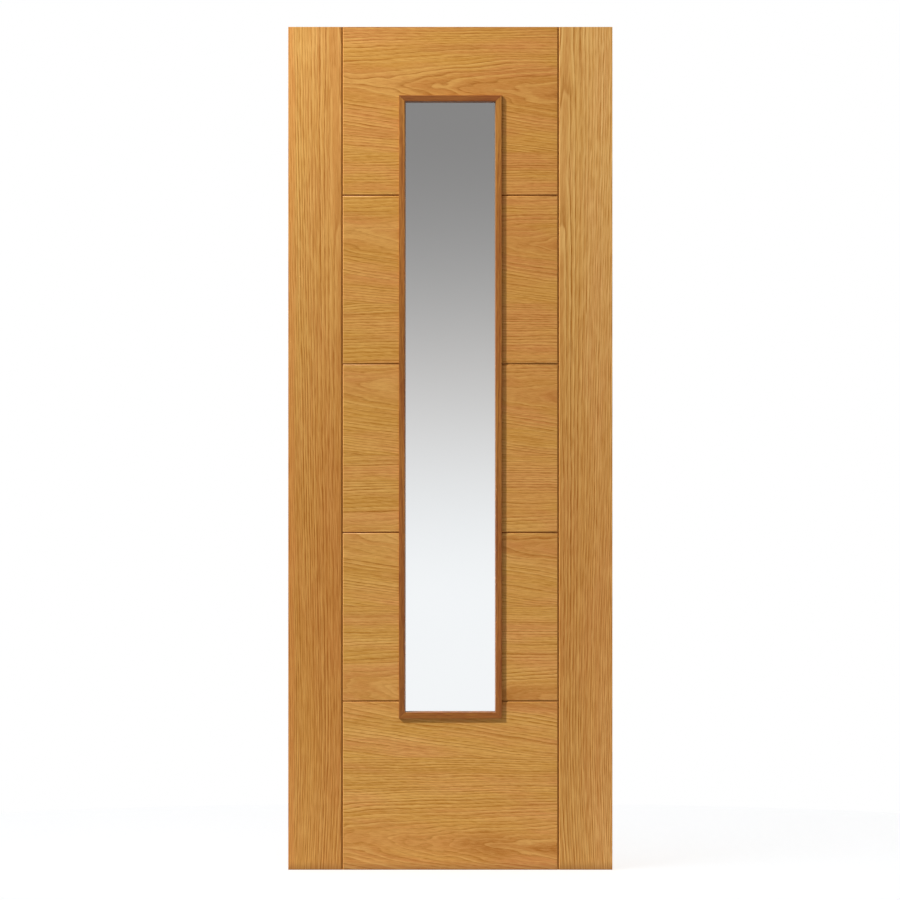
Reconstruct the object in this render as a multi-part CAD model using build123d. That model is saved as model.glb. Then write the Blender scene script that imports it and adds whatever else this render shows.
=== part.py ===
"""Glazed internal door leaf: veneered stiles and rail blocks round one tall, narrow pane.

The leaf stands upright with its front face towards -Y. The origin lies on the hinge edge, at the foot of the
leaf and half-way through its thickness. +X runs across the leaf to the latch edge and +Z runs up.
Every length is in millimetres.
"""

from build123d import *
import os

os.makedirs("parts", exist_ok=True)

# Leaf
LEAF_W = 762.0
LEAF_H = 1981.0
LEAF_T = 35.0

# Built-up section: a core between two veneered face boards, and a solid lipping on each long edge
STILE_W = 127.0
FACE_BOARD_T = 4.0
VENEER_T = 0.6
LIPPING_W = 8.0

# Rail blocks between the stiles, named from the foot of the leaf upwards
BLOCK_NAMES = ("bottom_rail", "lower_panel", "middle_panel", "upper_panel", "top_rail")

# V-shaped groove routed along every joint, with walls at 45 degrees
GROOVE_D = 3.0

# Glass, and how far its sight line stands from the head and foot of the leaf
SIGHT_W = 210.0
HEAD_MARGIN = 177.0
FOOT_MARGIN = 372.0
GLASS_T = 6.0
GLASS_COVER = 7.0
GLASS_CLEARANCE = 3.0
TAPE_T = 2.0
TAPE_SETBACK = 1.0
SETTING_BLOCK_L = 40.0
SETTING_BLOCK_INSET = 36.0

# Glazing bead: its body lines the opening and its lip laps over the face of the leaf
BEAD_LIP = 6.0
BEAD_PROUD = 7.0
BEAD_SPLAY = 2.0
BEAD_OUTER_R = 1.2
BEAD_INNER_R = 1.0

# How far a cutter runs past what it cuts
OVERRUN = 5.0

# Places worked out from the sizes above
FRONT = -1
REAR = 1
FACES = {"front": FRONT, "rear": REAR}
CORE_T = LEAF_T - 2 * FACE_BOARD_T
CENTRE_X = LEAF_W / 2
ROW_PITCH = LEAF_H / len(BLOCK_NAMES)
SIGHT_H = LEAF_H - HEAD_MARGIN - FOOT_MARGIN
SIGHT_MID_Z = FOOT_MARGIN + SIGHT_H / 2
BEAD_BODY_W = GLASS_COVER + GLASS_CLEARANCE
BEAD_W = BEAD_BODY_W + BEAD_LIP
TAPE_FACE = GLASS_T / 2 + TAPE_T


def board(x_span, y_span, z_span):
    """A square-edged board between two corners, given as a span along each axis."""
    low = [min(span) for span in (x_span, y_span, z_span)]
    size = [max(span) - min(span) for span in (x_span, y_span, z_span)]
    return Pos(*low) * Box(*size, align=Align.MIN)


def layer(face, inner, outer):
    """The span in Y of a layer on the front or rear, from its depth to its outer surface."""
    return (face * inner, face * outer)


def ring_span(grow):
    """The X and Z spans of the sight rectangle, grown all round."""
    half_w = SIGHT_W / 2 + grow
    half_h = SIGHT_H / 2 + grow
    return (CENTRE_X - half_w, CENTRE_X + half_w), (SIGHT_MID_Z - half_h, SIGHT_MID_Z + half_h)


def prism(points, along, length):
    """Extrude a closed outline of 3-D points along a direction."""
    return extrude(make_face(Polyline(*points, close=True)), amount=length, dir=along)


def aperture():
    """The opening cut right through the leaf for the glass and its beads."""
    x_span, z_span = ring_span(BEAD_BODY_W)
    return board(x_span, (-LEAF_T, LEAF_T), z_span)


def stile_groove(x, face):
    """Cutter for the groove that runs the full height of a stile's joint."""
    surface = face * LEAF_T / 2
    mouth = GROOVE_D + OVERRUN
    foot = -OVERRUN
    points = [
        (x, surface - face * GROOVE_D, foot),
        (x - mouth, surface + face * OVERRUN, foot),
        (x + mouth, surface + face * OVERRUN, foot),
    ]
    return prism(points, (0, 0, 1), LEAF_H + 2 * OVERRUN)


def rail_groove(z, face):
    """Cutter for a level groove, which stops at the stiles' joints."""
    surface = face * LEAF_T / 2
    mouth = GROOVE_D + OVERRUN
    points = [
        (STILE_W, surface - face * GROOVE_D, z),
        (STILE_W, surface + face * OVERRUN, z - mouth),
        (STILE_W, surface + face * OVERRUN, z + mouth),
    ]
    return prism(points, (1, 0, 0), LEAF_W - 2 * STILE_W)


def grooves(face, z_span):
    """The cutters that touch a block of rails with this span in Z."""
    cutters = [stile_groove(x, face) for x in (STILE_W, LEAF_W - STILE_W)]
    return cutters + [rail_groove(z, face) for z in z_span if 0 < z < LEAF_H]


def stile(hand, edge_x, turn):
    """The core, lipping and face boards of one stile; turn is +1 where the stile runs towards +X."""

    def across(distance):
        return edge_x + turn * distance

    z_span = (0, LEAF_H)
    pieces = {
        f"{hand}_stile_core": board(
            (across(LIPPING_W), across(STILE_W)), (-CORE_T / 2, CORE_T / 2), z_span
        ),
        f"{hand}_edge_lipping": board(
            (across(0), across(LIPPING_W)), (VENEER_T - LEAF_T / 2, LEAF_T / 2 - VENEER_T), z_span
        ),
    }
    for name, face in FACES.items():
        surface = face * LEAF_T / 2
        section = [
            (across(0), surface),
            (across(0), surface - face * VENEER_T),
            (across(LIPPING_W), surface - face * VENEER_T),
            (across(LIPPING_W), surface - face * FACE_BOARD_T),
            (across(STILE_W), surface - face * FACE_BOARD_T),
            (across(STILE_W), surface - face * GROOVE_D),
            (across(STILE_W - GROOVE_D), surface),
        ]
        outline = [(x, y, 0) for x, y in section]
        pieces[f"{hand}_stile_{name}_skin"] = prism(outline, (0, 0, 1), LEAF_H)
    return pieces


def rail_block(name, x_span, z_span):
    """The core and face boards of one block between the stiles, cut round the glazed opening."""
    pieces = {f"{name}_core": board(x_span, (-CORE_T / 2, CORE_T / 2), z_span) - aperture()}
    for side, face in FACES.items():
        skin = board(x_span, layer(face, CORE_T / 2, LEAF_T / 2), z_span) - aperture()
        for cutter in grooves(face, z_span):
            skin -= cutter
        pieces[f"{name}_{side}_skin"] = skin
    return pieces


def rail_blocks():
    """Every block from foot to head: whole at the two ends, and one each side of the glass between them."""
    pieces = {}
    inside = (STILE_W, LEAF_W - STILE_W)
    for row, name in enumerate(BLOCK_NAMES):
        z_span = (row * ROW_PITCH, (row + 1) * ROW_PITCH)
        if row in (0, len(BLOCK_NAMES) - 1):
            pieces |= rail_block(name, inside, z_span)
        else:
            pieces |= rail_block(f"{name}_left", (inside[0], CENTRE_X), z_span)
            pieces |= rail_block(f"{name}_right", (CENTRE_X, inside[1]), z_span)
    return pieces


def bead_section():
    """Section of the bead: X runs outwards from the sight line and Y towards the viewer, from the tape."""
    lap = LEAF_T / 2 - TAPE_FACE
    front = lap + BEAD_PROUD
    outline = Polyline(
        (0, 0),
        (BEAD_BODY_W, 0),
        (BEAD_BODY_W, lap),
        (BEAD_W, lap),
        (BEAD_W, front),
        (BEAD_SPLAY, front),
        close=True,
    )
    section = make_face(outline)
    outer = section.vertices().sort_by_distance((BEAD_W, front))[0]
    section = fillet(outer, BEAD_OUTER_R)
    inner = section.vertices().sort_by_distance((BEAD_SPLAY, front))[0]
    return fillet(inner, BEAD_INNER_R)


def bead(middle, outwards, half_length, face):
    """One length of bead, mitred at both ends.

    middle is the centre of its sight line on the tape, outwards points from the glass to the leaf, and
    half_length is half the sight line.
    """
    towards_viewer = Vector(0, face, 0)
    plane = Plane(middle, x_dir=outwards, z_dir=outwards.cross(towards_viewer))
    length = extrude(plane * bead_section(), amount=half_length + BEAD_W + OVERRUN, both=True)
    along = plane.z_dir
    wedge = [
        middle + along * end * (half_length + reach) + outwards * reach
        for end, reach in ((-1, -OVERRUN), (1, -OVERRUN), (1, BEAD_W + OVERRUN), (-1, BEAD_W + OVERRUN))
    ]
    mitres = extrude(make_face(Polyline(*wedge, close=True)), amount=LEAF_T, dir=(0, 1, 0), both=True)
    return length & mitres


def beads():
    """Four mitred beads on each face of the leaf."""
    pieces = {}
    for name, face in FACES.items():
        for where, outwards in (
            ("left", Vector(-1, 0, 0)),
            ("right", Vector(1, 0, 0)),
            ("bottom", Vector(0, 0, -1)),
            ("top", Vector(0, 0, 1)),
        ):
            upright = outwards.Z == 0
            reach = SIGHT_W / 2 if upright else SIGHT_H / 2
            half_length = SIGHT_H / 2 if upright else SIGHT_W / 2
            middle = Vector(CENTRE_X, face * TAPE_FACE, SIGHT_MID_Z) + outwards * reach
            pieces[f"{name}_bead_{where}"] = bead(middle, outwards, half_length, face)
    return pieces


def glazing():
    """The pane, the tape on both its faces and the blocks that carry it."""
    pane_x, pane_z = ring_span(GLASS_COVER)
    clear_x, clear_z = ring_span(TAPE_SETBACK)
    pieces = {"glass_pane": board(pane_x, (-GLASS_T / 2, GLASS_T / 2), pane_z)}
    for name, face in FACES.items():
        thickness = layer(face, GLASS_T / 2, TAPE_FACE)
        opening = board(clear_x, (-LEAF_T, LEAF_T), clear_z)
        pieces[f"{name}_glazing_tape"] = board(pane_x, thickness, pane_z) - opening
    blocks = []
    for end, turn in ((pane_x[0], 1), (pane_x[1], -1)):
        near = end + turn * SETTING_BLOCK_INSET
        x_span = (near, near + turn * SETTING_BLOCK_L)
        z_span = (pane_z[0] - GLASS_CLEARANCE, pane_z[0])
        blocks.append(board(x_span, (-GLASS_T / 2, GLASS_T / 2), z_span))
    pieces["setting_blocks"] = Compound(children=blocks)
    return pieces


def door():
    """Every piece of the leaf by its node's name."""
    pieces = stile("left", 0, 1) | stile("right", LEAF_W, -1)
    return pieces | rail_blocks() | glazing() | beads()


for node, shape in door().items():
    export_step(shape, f"parts/{node}.step")
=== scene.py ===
"""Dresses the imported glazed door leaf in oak, hardwood and glass, in a plain pale studio.

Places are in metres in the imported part's own frame: the hinge edge is at X = 0, the front faces -Y and the
foot of the leaf is at Z = 0. Sizes of wood figure are in millimetres, as a veneer mill would give them.
"""

import logging
import math
from dataclasses import dataclass, replace
from enum import Enum
from functools import cache
from typing import Callable

import bmesh
import bpy
from mathutils import Matrix, Vector


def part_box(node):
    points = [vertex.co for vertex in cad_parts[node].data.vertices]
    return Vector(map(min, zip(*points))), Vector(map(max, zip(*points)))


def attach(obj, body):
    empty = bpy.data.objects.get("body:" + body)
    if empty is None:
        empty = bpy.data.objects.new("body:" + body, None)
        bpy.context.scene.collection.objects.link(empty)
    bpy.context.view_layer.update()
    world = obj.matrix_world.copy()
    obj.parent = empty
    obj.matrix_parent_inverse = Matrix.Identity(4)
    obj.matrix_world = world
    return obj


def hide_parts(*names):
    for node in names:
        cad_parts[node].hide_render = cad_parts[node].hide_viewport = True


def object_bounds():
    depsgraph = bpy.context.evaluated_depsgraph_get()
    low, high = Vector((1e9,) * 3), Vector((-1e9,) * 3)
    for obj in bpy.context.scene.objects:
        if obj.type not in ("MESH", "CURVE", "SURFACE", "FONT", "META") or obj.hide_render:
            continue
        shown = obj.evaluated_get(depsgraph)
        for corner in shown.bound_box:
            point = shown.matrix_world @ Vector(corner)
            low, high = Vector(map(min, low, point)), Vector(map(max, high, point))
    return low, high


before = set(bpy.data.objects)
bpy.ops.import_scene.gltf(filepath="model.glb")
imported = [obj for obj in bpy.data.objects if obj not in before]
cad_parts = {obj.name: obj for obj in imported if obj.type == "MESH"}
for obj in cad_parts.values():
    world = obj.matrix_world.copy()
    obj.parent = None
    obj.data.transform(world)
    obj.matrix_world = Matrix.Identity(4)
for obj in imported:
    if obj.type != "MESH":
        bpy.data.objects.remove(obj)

CAD_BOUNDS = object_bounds()
LOW, HIGH = CAD_BOUNDS
CENTRE = (LOW + HIGH) / 2

# How far each face of the leaf lies from the middle of its thickness
HALF_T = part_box("left_stile_rear_skin")[1].y

MM = 0.001
PER_MM = (1 / MM,) * 3
WHITE = (1.0, 1.0, 1.0, 1.0)

# Points this near are one, faces within the flat angle are one, and edges past the sharp angle stay crisp
NEAR = 0.01 * MM
FLAT_ANGLE = math.radians(0.5)
SHARP_ANGLE = math.radians(35)

LOG = logging.getLogger("door")
BMesh = bmesh.types.BMesh
Socket = bpy.types.NodeSocket
Colour = tuple[float, float, float, float]
Triple = tuple[float, float, float]


class Side(Enum):
    """A face of the leaf; the value is the sign of its outward Y."""

    FRONT = -1
    REAR = 1

    @property
    def word(self) -> str:
        """The side as it is written in a piece's name."""
        return self.name.lower()


class Grain(Enum):
    """The way a piece's grain runs; the value turns the frame's axes to the plank's, about Y."""

    LEVEL = 0.0
    UPRIGHT = math.pi / 2


class Slot(Enum):
    """The material slots that pieces are dressed by."""

    UPRIGHT_VENEER = "upright_oak_veneer"
    LEVEL_VENEER = "level_oak_veneer"
    LIPPING = "oak_lipping"
    STILE_CORE = "stile_core"
    RAIL_CORE = "rail_core"
    BEAD = "bead_hardwood"
    GLASS = "clear_glass"
    TAPE = "glazing_tape"
    PACKER = "setting_block"


class Kind(Enum):
    """What a group's socket carries."""

    NUMBER = "NodeSocketFloat"
    COLOUR = "NodeSocketColor"
    VECTOR = "NodeSocketVector"


class FloorLight(Enum):
    """Whether a lamp spares the floor or lights nothing else; the value is Blender's link state."""

    SPARED = "EXCLUDE"
    ALONE = "INCLUDE"


def tint(red: int, green: int, blue: int) -> Colour:
    """Turn a screen colour into the linear one that shaders use.

    Args:
        red: red from 0 to 255.
        green: green from 0 to 255.
        blue: blue from 0 to 255.

    Returns:
        The linear colour with an alpha of 1.
    """

    def linear(value: int) -> float:
        """One channel, from screen to linear."""
        share = value / 255
        return share / 12.92 if share <= 0.04045 else ((share + 0.055) / 1.055) ** 2.4

    return (linear(red), linear(green), linear(blue), 1.0)


def title(name: str) -> str:
    """A name as a socket shows it, such as Crown Width for crown_width."""
    return name.replace("_", " ").title()


@dataclass
class Wiring:
    """Places nodes in one node tree and joins them."""

    tree: bpy.types.NodeTree

    def fill(self, node: bpy.types.Node, inputs: dict) -> None:
        """Give a node's inputs their values, or join them to the sockets that make these.

        Args:
            node: the node.
            inputs: numbers, colours, vectors or output sockets, by the input's name or number.
        """
        for key, value in inputs.items():
            if isinstance(value, Socket):
                self.tree.links.new(value, node.inputs[key])
            else:
                node.inputs[key].default_value = value

    def node(self, kind: str, inputs: dict | None = None, **settings: object) -> bpy.types.Node:
        """Add one node.

        Args:
            kind: the node's type, without its ShaderNode prefix.
            inputs: values or sockets for its inputs, by name or number.
            settings: the node's own properties.

        Returns:
            The node.
        """
        made = self.tree.nodes.new(f"ShaderNode{kind}")
        for name, value in settings.items():
            setattr(made, name, value)
        self.fill(made, inputs or {})
        return made

    def group(self, build: "GroupBuilder", **inputs: object) -> bpy.types.Node:
        """Place the shared group that a function fills, with values or sockets for its inputs."""
        named = {title(name): value for name, value in inputs.items()}
        return self.node("Group", named, node_tree=shared_tree(build))

    def surface_point(self) -> Socket:
        """The point on the surface in the part's own frame, in metres."""
        return self.node("TexCoord").outputs["Object"]

    def split(self, vector: Socket) -> list[Socket]:
        """The X, Y and Z of a vector."""
        return list(self.node("SeparateXYZ", {0: vector}).outputs)

    def join(self, *parts: Socket) -> Socket:
        """The vector of an X, a Y and a Z."""
        return self.node("CombineXYZ", dict(enumerate(parts))).outputs[0]

    def math(self, operation: str, *values: object) -> Socket:
        """The result of a Math node on up to three values."""
        return self.node("Math", dict(enumerate(values)), operation=operation).outputs[0]

    def add(self, first: object, second: object) -> Socket:
        """The sum of two values."""
        return self.math("ADD", first, second)

    def minus(self, first: object, second: object) -> Socket:
        """The first value less the second."""
        return self.math("SUBTRACT", first, second)

    def times(self, first: object, second: object) -> Socket:
        """The product of two values."""
        return self.math("MULTIPLY", first, second)

    def over(self, first: object, second: object) -> Socket:
        """The first value divided by the second."""
        return self.math("DIVIDE", first, second)

    def scaled(self, value: object, factor: object, offset: object) -> Socket:
        """A value times a factor, plus an offset."""
        return self.math("MULTIPLY_ADD", value, factor, offset)

    def ramp(self, value: object, low: float, high: float, to_low: float = 0, to_high: float = 1) -> Socket:
        """The smooth step from to_low to to_high that a value takes between low and high."""
        inputs = {"Value": value, "From Min": low, "From Max": high, "To Min": to_low, "To Max": to_high}
        return self.node("MapRange", inputs, interpolation_type="SMOOTHSTEP").outputs["Result"]

    def mix(self, factor: object, first: object, second: object, blend: str = "MIX") -> Socket:
        """Two colours mixed by a factor; the Mix node's colours are its inputs 6 and 7 and its output 2."""
        inputs = {0: factor, 6: first, 7: second}
        return self.node("Mix", inputs, data_type="RGBA", blend_type=blend).outputs[2]

    def noise(self, place: Socket, stretch: Triple, seed: object, detail: float = 2) -> Socket:
        """Seeded noise whose grains have a given size along each axis.

        Args:
            place: the point, in the same unit as the stretch.
            stretch: the size of a grain along each axis.
            seed: a number or socket that changes the pattern.
            detail: how many finer layers are added.

        Returns:
            A value about 0.5, from 0 to 1.
        """
        scale = tuple(1 / size for size in stretch)
        scaled = self.node("Mapping", {"Vector": place, "Scale": scale}).outputs[0]
        inputs = {"Vector": scaled, "W": seed, "Scale": 1.0, "Detail": detail, "Roughness": 0.55}
        return self.node("TexNoise", inputs, noise_dimensions="4D").outputs[0]


class GroupMaker:
    """A shader node group that reads a point and gets named sockets."""

    def __init__(self, name: str) -> None:
        """Start a group that has only its point.

        Args:
            name: the group's name.
        """
        self.tree = bpy.data.node_groups.new(name, "ShaderNodeTree")
        self.wire = Wiring(self.tree)
        self.entry = self.tree.nodes.new("NodeGroupInput")
        self.leave = self.tree.nodes.new("NodeGroupOutput")
        (self.place,) = self.take(Kind.VECTOR, "vector")

    def take(self, kind: Kind, *names: str) -> list[Socket]:
        """Add inputs.

        Args:
            kind: what they carry.
            names: their names.

        Returns:
            The sockets that bring them in.
        """
        for name in names:
            self.tree.interface.new_socket(title(name), in_out="INPUT", socket_type=kind.value)
        return [self.entry.outputs[title(name)] for name in names]

    def give(self, kind: Kind, **values: Socket) -> None:
        """Add outputs and join their values to them.

        Args:
            kind: what they carry.
            values: the value of each output, by its name.
        """
        for name, value in values.items():
            self.tree.interface.new_socket(title(name), in_out="OUTPUT", socket_type=kind.value)
            self.tree.links.new(value, self.leave.inputs[title(name)])


GroupBuilder = Callable[[GroupMaker], None]


@cache
def shared_tree(build: GroupBuilder) -> bpy.types.NodeTree:
    """Build a group when it is first asked for, and name it after its builder.

    Args:
        build: fills an empty group.

    Returns:
        The group's tree.
    """
    maker = GroupMaker(build.__name__.removeprefix("build_"))
    build(maker)
    return maker.tree


# What the rings of a log are made from, as LogCut names it
RING_SIZES = ("heart", "lean", "point", "spacing", "wander", "fibre", "crown_width")


def build_log_rings(group: GroupMaker) -> None:
    """Fill the group that cuts a surface through a log's growth rings.

    The plank's axes are X along the grain, Y through its thickness and Z across it, in millimetres. Rings
    circle a heart that lies behind the face and leans along the grain, which gives a flat-cut board its
    flames.

    Args:
        group: the empty group.
    """
    wire, place = group.wire, group.place
    (seed,) = group.take(Kind.NUMBER, "seed")
    heart, lean, point, spacing, wander, fibre, crown_width = group.take(Kind.NUMBER, *RING_SIZES)
    x, y, z = wire.split(place)
    depth = wire.minus(wire.scaled(x, lean, heart), y)
    across = wire.times(z, z)
    radius = wire.math("SQRT", wire.add(across, wire.times(depth, depth)))
    flame = wire.times(wire.math("SQRT", wire.add(across, 60.0)), point)
    crown = wire.ramp(wire.over(wire.math("SQRT", across), crown_width), 0.0, 1.0, 1, 0)
    # The lines sway slowly along the log, and raggedly over short lengths, most of all in the crown
    slow = wire.noise(place, (300, 90, 70), seed, 1)
    quick = wire.noise(place, (90, 40, 24), wire.add(seed, 7.3), 1)
    ragged = wire.times(wire.minus(quick, 0.5), wire.scaled(crown, 1.6, 0.8))
    sway = wire.add(wire.scaled(slow, 2.0, -1.0), ragged)
    total = wire.scaled(sway, wander, wire.add(radius, flame))
    along = wire.over(x, fibre)
    contour = wire.join(along, y, total)
    # Each ring has its own width and strength, and is broken here and there
    uneven = wire.noise(contour, (4000, 4000, 34), wire.add(seed, 2.2), 2)
    rings = wire.add(wire.over(total, spacing), wire.scaled(uneven, 2.0, -1.0))
    index = wire.math("FLOOR", rings)
    part = wire.minus(rings, index)
    each = wire.node("TexWhiteNoise", {"W": wire.add(index, seed)}, noise_dimensions="1D").outputs[0]
    broken = wire.ramp(wire.noise(contour, (200, 25, 8), wire.add(seed, 4.4), 2), 0.34, 0.62, 0.3, 1)
    calm = wire.scaled(crown, -0.45, 1.0)
    strength = wire.times(wire.scaled(each, 0.8, 0.25), wire.times(broken, calm))
    # A dark line opens each ring, and a pale band comes before the next
    before = wire.ramp(part, 0.9, 1.0)
    line = wire.math("MAXIMUM", before, wire.ramp(part, 0.0, 0.4, 1, 0))
    pale = wire.times(wire.ramp(part, 0.5, 0.86), wire.minus(1.0, before))
    level = wire.scaled(sway, wire.times(wander, 0.6), z)
    group.give(Kind.NUMBER, line=wire.times(line, strength), pale=wire.times(pale, strength), crown=crown)
    group.give(Kind.VECTOR, contour=contour, fibre=wire.join(along, y, level))


def build_sawn_wood(group: GroupMaker) -> None:
    """Fill the group that colours, roughens and dents a piece of open-grained wood.

    Args:
        group: the empty group.
    """
    wire, place = group.wire, group.place
    base, dark, pale, warm = group.take(Kind.COLOUR, "base", "dark", "pale", "warm")
    seed, rough, crown_depth = group.take(Kind.NUMBER, "seed", "roughness", "crown_depth")
    line_strength, streak_strength, pore_strength, band_strength = group.take(
        Kind.NUMBER, "line_strength", "streak_strength", "pore_strength", "band_strength"
    )
    sizes = dict(zip(RING_SIZES, group.take(Kind.NUMBER, *RING_SIZES)))
    rings = wire.group(build_log_rings, vector=place, seed=seed, **sizes).outputs
    contour, fibre, crown = rings["Contour"], rings["Fibre"], rings["Crown"]
    # Every layer of noise has its own seed, so that none repeats another
    fibres = wire.noise(contour, (260, 9, 3.2), wire.add(seed, 3.1), 4)
    hairs = wire.noise(fibre, (20, 2.2, 2.1), wire.add(seed, 5.7), 1)
    threads = wire.noise(fibre, (9, 0.5, 0.42), wire.add(seed, 13.1), 1)
    bands = wire.noise(contour, (240, 60, 20), wire.add(seed, 8.8), 2)
    patches = wire.noise(place, (260, 120, 46), wire.add(seed, 11.9), 2)
    # Streaks and pores fade in the crown, where the bands are broader
    line = wire.times(rings["Line"], line_strength)
    glint = wire.times(rings["Pale"], line_strength)
    streaks = wire.times(streak_strength, wire.scaled(crown, -0.8, 1.0))
    shown = wire.times(pore_strength, wire.scaled(crown, -0.6, 1.0))
    dull = wire.times(wire.ramp(fibres, 0.5, 0.68), streaks)
    bright = wire.times(wire.ramp(fibres, 0.5, 0.32), streaks)
    pores = wire.times(wire.ramp(hairs, 0.5, 0.62), wire.add(line, 0.4))
    sheen = wire.times(wire.ramp(hairs, 0.5, 0.36), shown)
    broad = wire.times(band_strength, wire.add(crown, 1.0))
    brown = wire.times(wire.ramp(bands, 0.5, 0.68), broad)
    cream = wire.times(wire.ramp(bands, 0.5, 0.32), broad)
    peach = wire.math("MAXIMUM", wire.ramp(patches, 0.38, 0.66), wire.times(crown, 0.7))
    # The layers go on from the broadest to the finest
    toned = wire.mix(wire.times(crown, crown_depth), wire.mix(peach, base, warm), dark)
    banded = wire.mix(cream, wire.mix(brown, toned, dark), pale)
    streaked = wire.mix(bright, wire.mix(dull, banded, dark), pale)
    lined = wire.mix(glint, wire.mix(line, streaked, dark), pale)
    brushed = wire.mix(wire.times(sheen, 0.6), lined, pale)
    haired = wire.mix(wire.times(pores, shown), brushed, dark)
    vessels = wire.times(wire.ramp(threads, 0.52, 0.64), wire.add(line, 0.3))
    silk = wire.times(wire.ramp(threads, 0.5, 0.36), 0.3)
    group.give(Kind.COLOUR, color=wire.mix(vessels, wire.mix(silk, haired, pale), dark))
    uneven = wire.scaled(patches, 0.12, -0.06)
    group.give(Kind.NUMBER, roughness=wire.add(wire.scaled(pores, 0.18, rough), uneven))
    dents = wire.scaled(line, 0.3, wire.times(pores, 0.5))
    height = wire.scaled(vessels, -0.8, wire.times(dents, -1.0))
    bump = wire.node("Bump", {"Strength": 0.35, "Distance": 0.25 * MM, "Height": height})
    group.give(Kind.VECTOR, normal=bump.outputs[0])


def build_stacked_leaves(group: GroupMaker) -> None:
    """Fill the group that lays level veneer leaves edge to edge, one above the other.

    Args:
        group: the empty group.
    """
    wire, place = group.wire, group.place
    pitch, seam, crown, turn = group.take(Kind.NUMBER, "pitch", "first_seam", "crown", "turn")
    x, y, z = wire.split(place)
    count = wire.over(wire.minus(z, seam), pitch)
    leaf = wire.math("FLOOR", count)
    share = wire.minus(count, leaf)
    local = wire.minus(wire.times(share, pitch), crown)
    edge = wire.times(wire.math("MINIMUM", share, wire.minus(1.0, share)), pitch)
    group.give(Kind.VECTOR, vector=wire.join(x, y, wire.scaled(x, turn, local)))
    seam_line = wire.ramp(edge, 0.3, 1.3, 1, 0)
    # Painted light: a mask from 0 at the left of the leaf to 1 at the right, which pales the left and deepens
    # the right
    group.give(Kind.NUMBER, leaf=leaf, seam=seam_line, far_end=wire.ramp(x, -250.0, 250.0))


def build_matched_pair(group: GroupMaker) -> None:
    """Fill the group that matches two upright veneers like a book, with their crowns near the inner edges.

    The crowns leave the strips further down, because the log's heart slants, and the lines flare outwards at
    the foot. Both strips are paler towards their outer edges, and the left one has a rim of warmer wood
    there.

    Args:
        group: the empty group.
    """
    wire, place = group.wire, group.place
    crown, slant, flare = group.take(Kind.NUMBER, "crown", "slant", "flare")
    x, y, z = wire.split(place)
    span = wire.math("ABSOLUTE", z)
    butt = wire.times(wire.ramp(x, -1400.0, -600.0, 1, 0), flare)
    heart = wire.add(wire.scaled(x, slant, crown), butt)
    right = wire.math("LESS_THAN", z, 0.0)
    ragged = wire.scaled(wire.noise(place, (160, 60, 14), 6.0, 3), 24.0, span)
    rim = wire.times(wire.ramp(ragged, 374.0, 382.0), wire.minus(1.0, right))
    group.give(Kind.VECTOR, vector=wire.join(x, y, wire.minus(span, heart)))
    group.give(Kind.NUMBER, leaf=right, seam=rim, outer=wire.ramp(ragged, 300.0, 365.0))


def build_slow_drift(group: GroupMaker) -> None:
    """Fill the group that deepens a wood's colour slowly up the leaf, most of all at one height.

    Args:
        group: the empty group.
    """
    wire, place = group.wire, group.place
    colour, deep = group.take(Kind.COLOUR, "color", "deep")
    height, reach = group.take(Kind.NUMBER, "deep_at", "reach")
    away = wire.over(wire.math("ABSOLUTE", wire.minus(wire.split(place)[2], height)), reach)
    group.give(Kind.COLOUR, color=wire.mix(wire.ramp(away, 0.0, 1.0, 1.0, 0.0), colour, deep, "MULTIPLY"))


def build_face_board(group: GroupMaker) -> None:
    """Fill the group that shows the backing board below the veneer, with painted shade in the grooves and
    along the foot.

    Args:
        group: the empty group.
    """
    wire, place = group.wire, group.place
    veneer, foot_tone = group.take(Kind.COLOUR, "veneer", "foot_tone")
    light, deep = group.take(Kind.COLOUR, "board_light", "board_deep")
    half_t, veneer_t, soak = group.take(Kind.NUMBER, "half_thickness", "veneer_thickness", "foot_soak")
    _, y, z = wire.split(place)
    depth = wire.minus(half_t, wire.math("ABSOLUTE", y))
    # Painted shade: the board deepens from its light colour towards the groove's root, partly standing for
    # stain that pools there
    fibres = wire.noise(place, (2.5, 1.5, 1.5), 2.0, 3)
    settled = wire.scaled(fibres, 0.6, wire.minus(depth, 0.3))
    board = wire.mix(wire.ramp(settled, 1.2, 2.6), light, deep)
    # Painted shade: the veneer darkens over the last few centimetres of the foot, and most of all in its last
    # 3 mm
    stain = wire.ramp(wire.over(z, soak), 0.0, 1.0, 0.42, 0.0)
    arris = wire.ramp(z, 0.0, 3.0, 0.35, 0.0)
    soaked = wire.mix(wire.add(stain, arris), veneer, foot_tone)
    past = wire.over(depth, veneer_t)
    group.give(Kind.COLOUR, color=wire.mix(wire.ramp(past, 0.85, 1.15), soaked, board))


@dataclass(frozen=True)
class LogCut:
    """How a piece was cut from its log, in millimetres, and how strongly its figure shows.

    The log's heart lies behind the face and leans along the grain. The point sharpens the flames, wander is
    how far the rings sway, and fibre draws the figure out along the grain.
    """

    heart: float
    lean: float
    point: float
    spacing: float
    wander: float
    fibre: float
    line_strength: float
    streak_strength: float
    pore_strength: float
    band_strength: float = 0.3
    crown_width: float = 60.0
    crown_depth: float = 0.16


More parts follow.
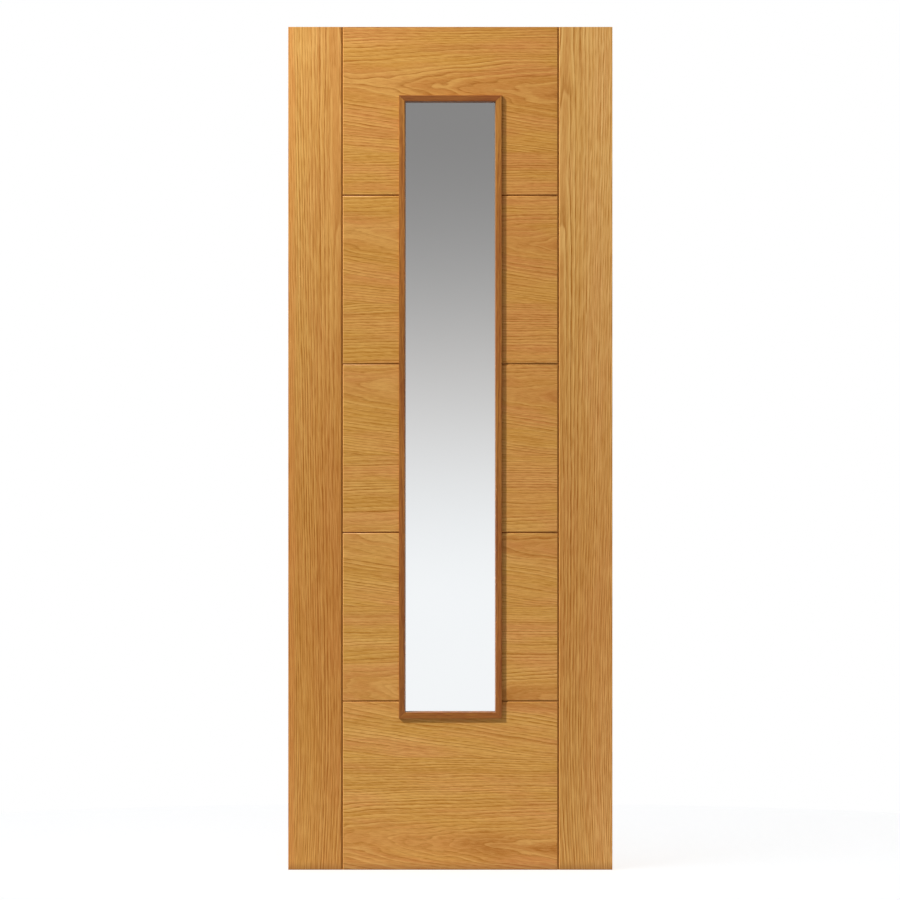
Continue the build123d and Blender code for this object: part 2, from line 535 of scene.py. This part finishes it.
CROWN_CUT = LogCut(
    heart=206, lean=-0.065, point=0.35, spacing=5.6, wander=7.0, fibre=1.7, line_strength=0.9,
    streak_strength=0.4, pore_strength=0.4, band_strength=0.27, crown_depth=0.2,
)
STILE_CUT = LogCut(
    heart=90, lean=0.016, point=0.25, spacing=5.2, wander=2.6, fibre=3.3, line_strength=1.3,
    streak_strength=0.33, pore_strength=0.72, band_strength=0.04, crown_width=20,
)
STRAIGHT_CUT = LogCut(
    heart=160, lean=-0.01, point=0.0, spacing=4.5, wander=2.5, fibre=2.0, line_strength=0.5,
    streak_strength=0.4, pore_strength=0.45,
)
BEAD_CUT = replace(STRAIGHT_CUT, heart=190, spacing=4.0, wander=3.0, streak_strength=0.5, pore_strength=0.5)


@dataclass(frozen=True)
class WoodTones:
    """The colours that one species shows under its finish."""

    base: Colour
    dark: Colour
    pale: Colour
    warm: Colour


OAK = WoodTones(
    base=tint(208, 153, 70), dark=tint(162, 96, 18), pale=tint(231, 183, 105), warm=tint(213, 146, 82)
)
EVEN_OAK = WoodTones(
    base=tint(210, 153, 76), dark=tint(164, 98, 20), pale=tint(233, 185, 107), warm=tint(211, 150, 79)
)
SAPELE = WoodTones(
    base=tint(167, 107, 43), dark=tint(117, 62, 17), pale=tint(200, 140, 64), warm=tint(163, 94, 41)
)
DARK_SAPELE = WoodTones(
    base=tint(160, 101, 40), dark=tint(113, 58, 16), pale=tint(184, 126, 54), warm=tint(158, 88, 38)
)
SOFTWOOD = WoodTones(
    base=tint(206, 168, 116), dark=tint(164, 116, 66), pale=tint(222, 190, 142), warm=tint(198, 156, 102)
)


@dataclass(frozen=True)
class Drift:
    """How a wood deepens up the leaf: the factor on its colour, the height of the deepest, and its reach."""

    deep: Colour
    deep_at: float
    reach: float


def new_material(name: str) -> tuple[bpy.types.Material, Wiring, bpy.types.Node]:
    """Start a material.

    Args:
        name: the material's name.

    Returns:
        The material, its wiring and its Principled shader.
    """
    material = bpy.data.materials.new(name)
    material.use_nodes = True
    return material, Wiring(material.node_tree), material.node_tree.nodes["Principled BSDF"]


@dataclass(frozen=True)
class WoodFinish:
    """A lacquered or sawn wood, with its cut, tones and gloss."""

    name: str
    grain: Grain
    cut: LogCut
    tones: WoodTones
    seed: float
    roughness: float = 0.4
    gloss: float = 0.15
    middle: Triple = (0.0, 0.0, 0.0)
    drift: Drift | None = None

    def plank_axes(self, wire: Wiring) -> Socket:
        """Turn the point on the surface to the plank's axes.

        Args:
            wire: the material's wiring.

        Returns:
            The point in millimetres from the plank's middle.
        """
        centred = {"Vector": wire.surface_point(), "Location": tuple(-value for value in self.middle)}
        moved = wire.node("Mapping", centred).outputs[0]
        turned = {"Vector": moved, "Rotation": (0, self.grain.value, 0), "Scale": PER_MM}
        return wire.node("Mapping", turned).outputs[0]

    def wood(self, wire: Wiring, place: Socket, seed: object) -> bpy.types.Node:
        """Place the sawn wood group, with a seed, at a point in the plank's axes."""
        values = vars(self.cut) | vars(self.tones) | {"roughness": self.roughness}
        return wire.group(build_sawn_wood, vector=place, seed=seed, **values)

    def drifted(self, wire: Wiring, colour: Socket) -> Socket:
        """Deepen the colour slowly up the leaf, where the finish does so.

        Args:
            wire: the material's wiring.
            colour: the wood's colour.

        Returns:
            The deepened colour.
        """
        if self.drift is None:
            return colour
        place = wire.surface_point()
        return wire.group(build_slow_drift, vector=place, color=colour, **vars(self.drift)).outputs["Color"]

    def surface(self, wire: Wiring) -> tuple[Socket, bpy.types.Node]:
        """The finished colour, and the wood's node, which gives the roughness and the normal."""
        wood = self.wood(wire, self.plank_axes(wire), self.seed)
        return self.drifted(wire, wood.outputs["Color"]), wood

    def material(self) -> bpy.types.Material:
        """Build the material.

        Returns:
            The material.
        """
        material, wire, shader = new_material(self.name)
        colour, wood = self.surface(wire)
        wire.fill(shader, {
            "Base Color": colour,
            "Roughness": wood.outputs["Roughness"],
            "Normal": wood.outputs["Normal"],
            "Specular IOR Level": self.gloss,
        })
        return material


@dataclass(frozen=True)
class VeneerFinish(WoodFinish):
    """Oak veneer on a backing board, which shows where the V-grooves cut through it, with painted shade
    deepening towards the grooves' roots.
    """

    seam_tone: Colour = OAK.dark
    seam_strength: float = 0.3
    leaf_seed: float = 0.35
    rear_seed: float = 41.0
    half_t_mm: float = 17.5
    veneer_mm: float = 0.6
    # The board's colours: light near the face, and deeper towards the groove's root as painted shade, partly
    # standing for pooled stain
    board_light: Colour = tint(208, 152, 80)
    board_deep: Colour = tint(128, 60, 6)
    # Painted shade along the foot: its colour and how far up it reaches
    foot_tone: Colour = tint(128, 80, 44)
    foot_soak_mm: float = 22.0

    def leaves(self, wire: Wiring, place: Socket) -> bpy.types.Node:
        """Place the group that lays out the veneer's leaves."""
        raise NotImplementedError

    def tone(self, wire: Wiring, leaves: bpy.types.Node) -> Socket:
        """The factor on the colour by which one place on the veneer differs from the next."""
        raise NotImplementedError

    def surface(self, wire: Wiring) -> tuple[Socket, bpy.types.Node]:
        """Lay the veneer on its board.

        Args:
            wire: the material's wiring.

        Returns:
            The finished colour, and the node that gives the roughness and the normal.
        """
        place = self.plank_axes(wire)
        leaves = self.leaves(wire, place)
        at_rear = wire.math("GREATER_THAN", wire.split(place)[1], 0.0)
        side_seed = wire.scaled(at_rear, self.rear_seed, self.seed)
        seed = wire.scaled(leaves.outputs["Leaf"], self.leaf_seed, side_seed)
        wood = self.wood(wire, leaves.outputs["Vector"], seed)
        toned = wire.mix(1.0, self.drifted(wire, wood.outputs["Color"]), self.tone(wire, leaves), "MULTIPLY")
        seam = wire.times(leaves.outputs["Seam"], self.seam_strength)
        board = wire.group(
            build_face_board,
            vector=wire.node("Mapping", {"Vector": wire.surface_point(), "Scale": PER_MM}).outputs[0],
            veneer=wire.mix(seam, toned, self.seam_tone),
            foot_tone=self.foot_tone,
            board_light=self.board_light,
            board_deep=self.board_deep,
            half_thickness=self.half_t_mm,
            veneer_thickness=self.veneer_mm,
            foot_soak=self.foot_soak_mm,
        )
        return board.outputs["Color"], wood


@dataclass(frozen=True)
class StackedVeneer(VeneerFinish):
    """Level leaves of crown-cut veneer, stacked edge to edge behind the rails' grooves."""

    pitch: float = 355.7
    first_seam: float = 263.5
    crown: float = 153.0
    turn: float = 0.055
    drift: Drift | None = Drift((0.9, 0.855, 0.76, 1.0), deep_at=1.9, reach=1.6)
    # Painted light: factors that make the leaves paler at the left, where the light falls from, and deeper at
    # the right
    near_end: Colour = (1.05, 1.055, 1.045, 1.0)
    far_end: Colour = (1.01, 0.985, 0.975, 1.0)

    def leaves(self, wire: Wiring, place: Socket) -> bpy.types.Node:
        """Place the group that stacks the leaves."""
        sizes = {name: getattr(self, name) for name in ("pitch", "first_seam", "crown", "turn")}
        return wire.group(build_stacked_leaves, vector=place, **sizes)

    def tone(self, wire: Wiring, leaves: bpy.types.Node) -> Socket:
        """Painted light: the leaves a little paler towards the left and deeper towards the right, as the
        light falls from the left.
        """
        return wire.mix(leaves.outputs["Far End"], self.near_end, self.far_end)


@dataclass(frozen=True)
class MatchedVeneer(VeneerFinish):
    """Two upright strips of veneer, matched about the middle of the leaf."""

    crown: float = 246.0
    slant: float = 0.03
    flare: float = 36.0
    drift: Drift | None = Drift((0.885, 0.775, 0.665, 1.0), deep_at=0.6, reach=1.1)
    seam_tone: Colour = tint(222, 142, 76)
    left_inner: Colour = (0.99, 0.945, 0.92, 1.0)
    left_outer: Colour = (1.04, 1.045, 1.01, 1.0)
    right_inner: Colour = (0.99, 1.025, 1.12, 1.0)
    right_outer: Colour = (1.065, 1.125, 1.34, 1.0)

    def leaves(self, wire: Wiring, place: Socket) -> bpy.types.Node:
        """Place the group that matches the strips."""
        sizes = {name: getattr(self, name) for name in ("crown", "slant", "flare")}
        return wire.group(build_matched_pair, vector=place, **sizes)

    def tone(self, wire: Wiring, leaves: bpy.types.Node) -> Socket:
        """Set the left strip a little warmer than the right, and both paler towards their outer edges.

        Args:
            wire: the material's wiring.
            leaves: the node that lays out the strips.

        Returns:
            The factor on the colour.
        """
        inner = wire.mix(leaves.outputs["Leaf"], self.left_inner, self.right_inner)
        outer = wire.mix(leaves.outputs["Leaf"], self.left_outer, self.right_outer)
        return wire.mix(leaves.outputs["Outer"], inner, outer)


@dataclass(frozen=True)
class ClearGlass:
    """Clear float glass, its body faintly uneven in tint."""

    name: str = "clear_float_glass"
    body: Colour = (0.985, 0.988, 0.988, 1.0)
    haze: Colour = (0.975, 0.98, 0.981, 1.0)
    cloud: Triple = (0.22, 0.22, 0.3)
    ior: float = 1.5

    def material(self) -> bpy.types.Material:
        """Build the material.

        Returns:
            The material.
        """
        material, wire, shader = new_material(self.name)
        clouds = wire.noise(wire.surface_point(), self.cloud, 1.7, 3)
        colour = wire.mix(wire.ramp(clouds, 0.35, 0.75), self.body, self.haze)
        clear = {"Base Color": colour, "Roughness": 0.0, "Transmission Weight": 1.0, "IOR": self.ior}
        wire.fill(shader, clear)
        return material


@dataclass(frozen=True)
class SoftFinish:
    """A matt moulded or foamed finish with a fine pebbled skin."""

    name: str
    tone: Colour
    worn: Colour
    grain_mm: float
    roughness: float
    spread: float = 0.15

    def material(self) -> bpy.types.Material:
        """Build the material.

        Returns:
            The material.
        """
        material, wire, shader = new_material(self.name)
        size = self.grain_mm * MM
        pebbles = wire.noise(wire.surface_point(), (size,) * 3, 4.0, 3)
        bump = wire.node("Bump", {"Strength": 0.4, "Distance": size / 4, "Height": pebbles})
        wire.fill(shader, {
            "Base Color": wire.mix(wire.ramp(pebbles, 0.35, 0.7), self.tone, self.worn),
            "Roughness": wire.ramp(pebbles, 0.3, 0.8, self.roughness, self.roughness + self.spread),
            "Normal": bump.outputs[0],
        })
        return material


# Where figure is laid out from, across and up the leaf, and the look of wood that is sawn and left bare
FIGURE_X = 0.381
FIGURE_Z = 0.99
SAWN = {"roughness": 0.75, "gloss": 0.2}

FINISHES = {
    Slot.LEVEL_VENEER: StackedVeneer(
        "level_oak_veneer", Grain.LEVEL, CROWN_CUT, OAK, seed=2.0, middle=(FIGURE_X, 0, 0)
    ),
    Slot.UPRIGHT_VENEER: MatchedVeneer(
        "upright_oak_veneer", Grain.UPRIGHT, STILE_CUT, EVEN_OAK, seed=17.0, middle=(FIGURE_X, 0, FIGURE_Z)
    ),
    Slot.LIPPING: WoodFinish(
        "solid_oak_lipping", Grain.UPRIGHT, STRAIGHT_CUT, OAK, seed=5.0, middle=(0, 0, FIGURE_Z)
    ),
    Slot.STILE_CORE: WoodFinish("sawn_stile_core", Grain.UPRIGHT, STRAIGHT_CUT, SOFTWOOD, seed=8.0, **SAWN),
    Slot.RAIL_CORE: WoodFinish("sawn_rail_core", Grain.LEVEL, STRAIGHT_CUT, SOFTWOOD, seed=9.0, **SAWN),
    Slot.GLASS: ClearGlass(),
    Slot.TAPE: SoftFinish(
        "foam_glazing_tape", tone=tint(34, 34, 35), worn=tint(50, 50, 50), grain_mm=0.6, roughness=0.75
    ),
    Slot.PACKER: SoftFinish(
        "moulded_packer", tone=tint(44, 45, 48), worn=tint(60, 61, 64), grain_mm=0.9, roughness=0.55
    ),
}

UPRIGHT_BEAD = WoodFinish(
    "bead_hardwood_upright", Grain.UPRIGHT, BEAD_CUT, SAPELE, seed=23.0, roughness=0.38, gloss=0.2,
    middle=(0.33, 0, 1.0), drift=Drift((0.8, 0.7, 0.75, 1.0), deep_at=0.3, reach=1.6),
)
LEVEL_BEAD = replace(
    UPRIGHT_BEAD, name="bead_hardwood_level", grain=Grain.LEVEL, tones=DARK_SAPELE,
    drift=Drift((0.77, 0.66, 0.72, 1.0), deep_at=1.85, reach=1.6),
)


def add_object(name: str, data: bpy.types.ID) -> bpy.types.Object:
    """Add an object to the scene.

    Args:
        name: the object's name.
        data: its mesh, lamp or camera.

    Returns:
        The object.
    """
    obj = bpy.data.objects.new(name, data)
    bpy.context.scene.collection.objects.link(obj)
    return obj


def add_mesh(name: str, mesh: BMesh) -> bpy.types.Object:
    """Add a finished mesh to the scene.

    Args:
        name: the name of the object and of its mesh.
        mesh: the mesh, which is freed.

    Returns:
        The object.
    """
    data = bpy.data.meshes.new(name)
    mesh.to_mesh(data)
    mesh.free()
    return add_object(name, data)


class Workshop:
    """Gives pieces their finishes and fixes them to the part."""

    def __init__(self) -> None:
        """Build every material once."""
        self.materials = {slot: finish.material() for slot, finish in FINISHES.items()}

    def dress(self, obj: bpy.types.Object, material: bpy.types.Material) -> None:
        """Give an object one material."""
        obj.data.materials.clear()
        obj.data.materials.append(material)

    def keep(self, node: str, slot: Slot) -> None:
        """Finish a CAD node that keeps its shape."""
        self.dress(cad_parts[node], self.materials[slot])
        LOG.info("%s keeps its shape and gets %s", node, slot.value)

    def fit(self, mesh: BMesh, name: str, slot: Slot, node: str,
            material: bpy.types.Material | None = None) -> None:
        """Turn a finished mesh into a piece that stands for a CAD node.

        Args:
            mesh: the mesh, in the part's own frame; it is freed.
            name: the piece's name.
            slot: its material slot, whose finish it gets when no material is given.
            node: the CAD node that it replaces.
            material: its finish, or None for the slot's own.
        """
        bmesh.ops.recalc_face_normals(mesh, faces=mesh.faces)
        piece = add_mesh(name, mesh)
        self.dress(piece, material or self.materials[slot])
        for face in piece.data.polygons:
            face.use_smooth = True
        piece.data.set_sharp_from_angle(angle=SHARP_ANGLE)
        shading = piece.modifiers.new("even_shading", "WEIGHTED_NORMAL")
        shading.keep_sharp = True
        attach(piece, "root")
        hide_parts(node)
        LOG.info("%s stands for %s", name, node)


def clean_copy(node: str) -> BMesh:
    """Copy a CAD node's mesh and join its triangles into flat faces.

    Args:
        node: the CAD node.

    Returns:
        The copy.
    """
    mesh = bmesh.new()
    mesh.from_mesh(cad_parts[node].data)
    bmesh.ops.remove_doubles(mesh, verts=mesh.verts, dist=NEAR)
    bmesh.ops.dissolve_limit(mesh, angle_limit=FLAT_ANGLE, verts=mesh.verts, edges=mesh.edges)
    return mesh


def round_edges(mesh: BMesh, width: float, segments: int, chosen: Callable[[Vector], bool]) -> None:
    """Bevel the edges whose two points are both chosen.

    Args:
        mesh: the mesh.
        width: how far the bevel reaches from the edge.
        segments: how many faces it has.
        chosen: says whether a point is chosen.
    """
    edges = [edge for edge in mesh.edges if edge.is_manifold and all(chosen(vert.co) for vert in edge.verts)]
    bmesh.ops.bevel(
        mesh, geom=edges, offset=width, offset_type="OFFSET", segments=segments, profile=0.5,
        affect="EDGES", material=-1,
    )


@dataclass
class FaceBoards:
    """The veneered boards on both faces of the leaf, with eased arrises and groove lips."""

    shop: Workshop
    blocks: tuple[str, ...] = (
        "bottom_rail", "lower_panel_left", "lower_panel_right", "middle_panel_left", "middle_panel_right",
        "upper_panel_left", "upper_panel_right", "top_rail",
    )
    stiles: tuple[str, ...] = ("left_stile", "right_stile")
    easing: float = 0.35 * MM
    segments: int = 2

    def build(self) -> None:
        """Make a board for each skin."""
        for side in Side:
            for name in self.blocks:
                self.board(f"{name}_{side.word}", Slot.LEVEL_VENEER)
            for name in self.stiles:
                self.board(f"{name}_{side.word}", Slot.UPRIGHT_VENEER)

    def board(self, name: str, slot: Slot) -> None:
        """Make one board, eased wherever an edge lies in its face.

        Args:
            name: the CAD skin's name without its last word.
            slot: the board's veneer.
        """
        mesh = clean_copy(f"{name}_skin")
        round_edges(mesh, self.easing, self.segments, lambda point: abs(point.y) > HALF_T - NEAR)
        self.shop.fit(mesh, f"{name}_board", slot, f"{name}_skin")


@dataclass
class Carcase:
    """The cores and lippings, which keep their CAD shapes and get their finishes."""

    shop: Workshop

    def build(self) -> None:
        """Dress each core and lipping."""
        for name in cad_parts:
            if name.endswith("_edge_lipping"):
                self.shop.keep(name, Slot.LIPPING)
            elif name.endswith("_stile_core"):
                self.shop.keep(name, Slot.STILE_CORE)
            elif name.endswith("_core"):
                self.shop.keep(name, Slot.RAIL_CORE)


@dataclass(frozen=True)
class BeadRing:
    """The beads on one face: their middle, half their spread, and how deep their backs and fronts lie."""

    side: Side
    centre: Vector
    half: Vector
    back: float
    front: float

    @classmethod
    def measured(cls, side: Side) -> "BeadRing":
        """Read a ring's place from the frame.

        Args:
            side: the face of the leaf that it is on.

        Returns:
            The ring.
        """
        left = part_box(f"{side.word}_bead_left")
        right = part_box(f"{side.word}_bead_right")
        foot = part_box(f"{side.word}_bead_bottom")[0].z
        low, high = Vector((left[0].x, 0, foot)), Vector((right[1].x, 0, right[1].z))
        back, front = sorted(abs(corner.y) for corner in left)
        return cls(side, (low + high) / 2, (high - low) / 2, back, front)


@dataclass
class GlazingBeads:
    """Mitred beads round the glass: a body in the opening and a lip over the face."""

    shop: Workshop
    body_w: float = 10 * MM
    lip: float = 6 * MM
    splay: float = 2 * MM
    outer_r: float = 1.2 * MM
    inner_r: float = 1 * MM
    segments: int = 5
    mitre_gap: float = 0.04 * MM
    cut_tolerance: float = 0.001 * MM

    @property
    def width(self) -> float:
        """The bead's whole width, from the sight line to its outer edge."""
        return self.body_w + self.lip

    def build(self) -> None:
        """Make all eight beads."""
        level, upright = LEVEL_BEAD.material(), UPRIGHT_BEAD.material()
        for side in Side:
            ring = BeadRing.measured(side)
            for word, outwards, material in (
                ("left", Vector((-1, 0, 0)), upright),
                ("right", Vector((1, 0, 0)), upright),
                ("bottom", Vector((0, 0, -1)), level),
                ("top", Vector((0, 0, 1)), level),
            ):
                node = f"{side.word}_bead_{word}"
                self.shop.fit(self.length(ring, outwards), f"{node}_moulding", Slot.BEAD, node, material)

    def outline(self, ring: BeadRing) -> list[tuple[float, float]]:
        """The section's points, as distances out from the sight line and from the middle of the leaf."""
        return [
            (0, ring.back),
            (self.body_w, ring.back),
            (self.body_w, HALF_T),
            (self.width, HALF_T),
            (self.width, ring.front),
            (self.splay, ring.front),
        ]

    def length(self, ring: BeadRing, outwards: Vector) -> BMesh:
        """Model one bead: its section run along the opening, rounded, then mitred.

        Args:
            ring: the ring that the bead is in.
            outwards: the direction from the glass to the leaf.

        Returns:
            The bead's mesh.
        """
        along = Vector((abs(outwards.z), 0, abs(outwards.x)))
        sight = ring.centre + outwards * (abs(ring.half.dot(outwards)) - self.width)
        run = along * (abs(ring.half.dot(along)) + self.width)
        mesh = bmesh.new()
        corners = [
            mesh.verts.new(sight - run + outwards * out + Vector((0, ring.side.value * deep, 0)))
            for out, deep in self.outline(ring)
        ]
        pushed = bmesh.ops.extrude_face_region(mesh, geom=[mesh.faces.new(corners)])["geom"]
        ends = [item for item in pushed if isinstance(item, bmesh.types.BMVert)]
        bmesh.ops.translate(mesh, verts=ends, vec=run * 2)
        for out, radius in ((self.width, self.outer_r), (self.splay, self.inner_r)):
            arris = sight + outwards * out + Vector((0, ring.side.value * ring.front, 0))
            # The cross product is as long as the point is far from the arris
            round_edges(mesh, radius, self.segments, lambda point: (point - arris).cross(along).length < NEAR)
        for end in (-along, along):
            corner = ring.centre + outwards * abs(ring.half.dot(outwards)) + end * abs(ring.half.dot(end))
            normal = (end - outwards).normalized()
            bmesh.ops.bisect_plane(
                mesh, geom=mesh.verts[:] + mesh.edges[:] + mesh.faces[:], dist=self.cut_tolerance,
                plane_co=corner - normal * self.mitre_gap, plane_no=normal, clear_outer=True,
            )
            bmesh.ops.holes_fill(mesh, edges=[edge for edge in mesh.edges if edge.is_boundary])
        return mesh


@dataclass
class Glazing:
    """The pane, its tapes and its packers, which keep their CAD shapes."""

    shop: Workshop

    def build(self) -> None:
        """Dress the pane and what holds it."""
        self.shop.keep("glass_pane", Slot.GLASS)
        self.shop.keep("front_glazing_tape", Slot.TAPE)
        self.shop.keep("rear_glazing_tape", Slot.TAPE)
        self.shop.keep("setting_blocks", Slot.PACKER)


@dataclass
class Studio:
    """The camera, the lamps, the pale floor and the graded cards that the glass shows."""

    picture_m: float = 2.114
    lens_mm: float = 200.0
    sensor_mm: float = 36.0
    aim_drop: float = 0.004
    aim_left: float = 0.0008
    key: float = 3.6
    key_from: Triple = (-1.7, -1.0, 1.65)
    key_angle: float = 3.0
    key_tone: Triple = (0.985, 1.01, 1.03)
    rear_share: float = 0.8
    head_watts: float = 4.4
    head_size: tuple[float, float] = (1.0, 0.8)
    head_in: float = 0.3
    head_down: float = 0.2
    head_from: Triple = (-0.42, -0.8, 0.5)
    ambient: float = 0.25
    ambient_tone: Colour = (1.0, 0.91, 0.84, 1.0)
    floor_key: float = 0.4
    floor_key_from: Triple = (-0.3, -0.2, 1.0)
    floor_key_angle: float = 60.0
    floor_glow: float = 0.69
    floor_bounce: float = 0.19
    floor_radius: float = 2.2
    floor_gap: float = 0.5 * MM
    floor_speck: float = 10 * MM
    floor_deep: Colour = (0.74, 0.8, 0.86, 1.0)
    floor_pale: Colour = (0.78, 0.84, 0.9, 1.0)
    card_half: tuple[float, float] = (2.2, 1.8)
    card_distance: float = 0.45
    card_dark: float = 0.493
    card_light: float = 0.972
    card_grade: tuple[float, float] = (0.59, 1.825)
    card_cool: Colour = (0.965, 0.985, 1.0, 1.0)
    card_warm: Colour = (1.0, 0.985, 0.975, 1.0)
    card_warming: tuple[float, float] = (0.75, 1.25)
    screen_gamma: float = 2.2

    def build(self) -> None:
        """Set up the whole studio."""
        self.camera()
        self.world()
        floor = self.floor()
        key_from = Vector(self.key_from)
        rear_from = key_from * Vector((-1, -1, 1))
        floor_from = Vector(self.floor_key_from)
        for name, strength, towards, angle, light in (
            ("key_lamp", self.key, key_from, self.key_angle, FloorLight.SPARED),
            ("rear_lamp", self.key * self.rear_share, rear_from, self.key_angle, FloorLight.SPARED),
            ("floor_lamp", self.floor_key, floor_from, self.floor_key_angle, FloorLight.ALONE),
        ):
            self.link_floor(self.sun(name, strength, towards, angle), floor, light)
        self.head_lamp()
        for side in Side:
            self.card(side)

    def camera(self) -> None:
        """Stand a long lens square to the front face."""
        data = bpy.data.cameras.new("camera")
        data.lens = self.lens_mm
        data.sensor_width = self.sensor_mm
        camera = add_object("camera", data)
        distance = self.picture_m * self.lens_mm / self.sensor_mm
        aim = CENTRE - Vector((self.aim_left, 0, self.aim_drop))
        camera.location = (aim.x, LOW.y - distance, aim.z)
        camera.rotation_euler = (math.pi / 2, 0, 0)
        bpy.context.scene.camera = camera

    def world(self) -> None:
        """Light the leaf softly from all round, and show white to the eye and in gloss and glass."""
        world = bpy.data.worlds.new("studio")
        bpy.context.scene.world = world
        world.use_nodes = True
        wire = Wiring(world.node_tree)
        seen = self.seen_directly(wire)
        wire.fill(world.node_tree.nodes["Background"], {
            "Color": wire.mix(seen, self.ambient_tone, WHITE),
            "Strength": wire.math("MAXIMUM", seen, self.ambient),
        })

    def seen_directly(self, wire: Wiring) -> Socket:
        """Mask the rays from the eye, from gloss and through glass.

        Args:
            wire: the wiring of the material or world.

        Returns:
            1 for such a ray and 0 for any other.
        """
        rays = wire.node("LightPath").outputs
        sharp = wire.math("MAXIMUM", rays["Is Glossy Ray"], rays["Is Transmission Ray"])
        return wire.math("MAXIMUM", rays["Is Camera Ray"], sharp)

    def sun(self, name: str, strength: float, towards: Vector, angle: float) -> bpy.types.Object:
        """Add a distant lamp.

        Args:
            name: the lamp's name.
            strength: its strength.
            towards: the direction from the leaf to the lamp.
            angle: how wide the lamp looks from the leaf, in degrees.

        Returns:
            The lamp.
        """
        data = bpy.data.lights.new(name, "SUN")
        data.energy = strength
        data.color = self.key_tone
        data.angle = math.radians(angle)
        lamp = add_object(name, data)
        lamp.rotation_euler = towards.to_track_quat("Z", "Y").to_euler()
        return lamp

    def link_floor(self, lamp: bpy.types.Object, floor: bpy.types.Object, light: FloorLight) -> None:
        """Keep a lamp off the floor, so that it leaves no hard shadow there, or on the floor alone.

        Args:
            lamp: the lamp.
            floor: the floor.
            light: whether the floor is spared or lit alone.
        """
        receivers = bpy.data.collections.new(f"{lamp.name}_receivers")
        receivers.objects.link(floor)
        lamp.light_linking.receiver_collection = receivers
        receivers.collection_objects[0].light_linking.link_state = light.value

    def head_lamp(self) -> None:
        """Hang a soft rectangular lamp that brightens the top left corner."""
        data = bpy.data.lights.new("head_lamp", "AREA")
        data.shape = "RECTANGLE"
        data.size, data.size_y = self.head_size
        data.energy = self.head_watts
        lamp = add_object("head_lamp", data)
        lamp.visible_camera = False
        offset = Vector(self.head_from)
        lamp.location = Vector((LOW.x + self.head_in, 0, HIGH.z - self.head_down)) + offset
        lamp.rotation_euler = offset.to_track_quat("Z", "Y").to_euler()

    def floor(self) -> bpy.types.Object:
        """Lay a round pale floor that keeps a faint shadow.

        Returns:
            The floor.
        """
        mesh = bmesh.new()
        bmesh.ops.create_circle(mesh, cap_ends=True, segments=96, radius=self.floor_radius)
        bmesh.ops.translate(mesh, verts=mesh.verts, vec=(CENTRE.x, 0, LOW.z - self.floor_gap))
        floor = add_mesh("floor", mesh)
        material, wire, shader = new_material("pale_floor")
        speck = wire.noise(wire.surface_point(), (self.floor_speck,) * 3, 3.0, 3)
        wire.fill(shader, {
            "Base Color": wire.mix(speck, self.floor_deep, self.floor_pale),
            "Roughness": wire.ramp(speck, 0.3, 0.7, 0.8, 0.9),
            "Specular IOR Level": 0.0,
            "Emission Color": WHITE,
            "Emission Strength": wire.ramp(
                self.seen_directly(wire), 0.0, 1.0, self.floor_bounce, self.floor_glow
            ),
        })
        floor.data.materials.append(material)
        return floor

    def card(self, side: Side) -> None:
        """Hang a card, grey at the head and white at the foot, that is seen only through the glass.

        Args:
            side: the side of the leaf that it hangs on.
        """
        name = f"{side.word}_card"
        mesh = bmesh.new()
        bmesh.ops.create_grid(mesh, x_segments=1, y_segments=1, size=1)
        turn = Matrix.Rotation(math.pi / 2, 4, "X")
        size = Matrix.Diagonal((self.card_half[0], 1, self.card_half[1], 1))
        place = Matrix.Translation((CENTRE.x, side.value * self.card_distance, CENTRE.z))
        bmesh.ops.transform(mesh, matrix=place @ size @ turn, verts=mesh.verts)
        card = add_mesh(name, mesh)
        for ray in ("camera", "diffuse", "glossy", "shadow", "volume_scatter"):
            setattr(card, f"visible_{ray}", False)
        card.data.materials.append(self.card_material(name))

    def card_material(self, name: str) -> bpy.types.Material:
        """Grade a card from grey at the head of the glass to white near its foot.

        Args:
            name: the material's name.

        Returns:
            The material.
        """
        material = bpy.data.materials.new(name)
        material.use_nodes = True
        material.node_tree.nodes.clear()
        wire = Wiring(material.node_tree)
        height = wire.split(wire.surface_point())[2]
        shade = wire.ramp(height, *self.card_grade, self.card_light, self.card_dark)
        colour = wire.mix(wire.ramp(height, *self.card_warming), self.card_cool, self.card_warm)
        level = wire.math("POWER", shade, self.screen_gamma)
        glow = wire.node("Emission", {"Color": colour, "Strength": level})
        wire.node("OutputMaterial", {"Surface": glow.outputs[0]})
        return material


def main() -> None:
    """Build the studio and dress the leaf, piece by piece."""
    logging.basicConfig(level=logging.INFO, format="%(name)s: %(message)s")
    bpy.context.scene.view_settings.view_transform = "Standard"
    Studio().build()
    shop = Workshop()
    for assembly in (FaceBoards(shop), Carcase(shop), GlazingBeads(shop), Glazing(shop)):
        assembly.build()
        LOG.info("%s done", type(assembly).__name__)


if __name__ == "__main__":
    main()
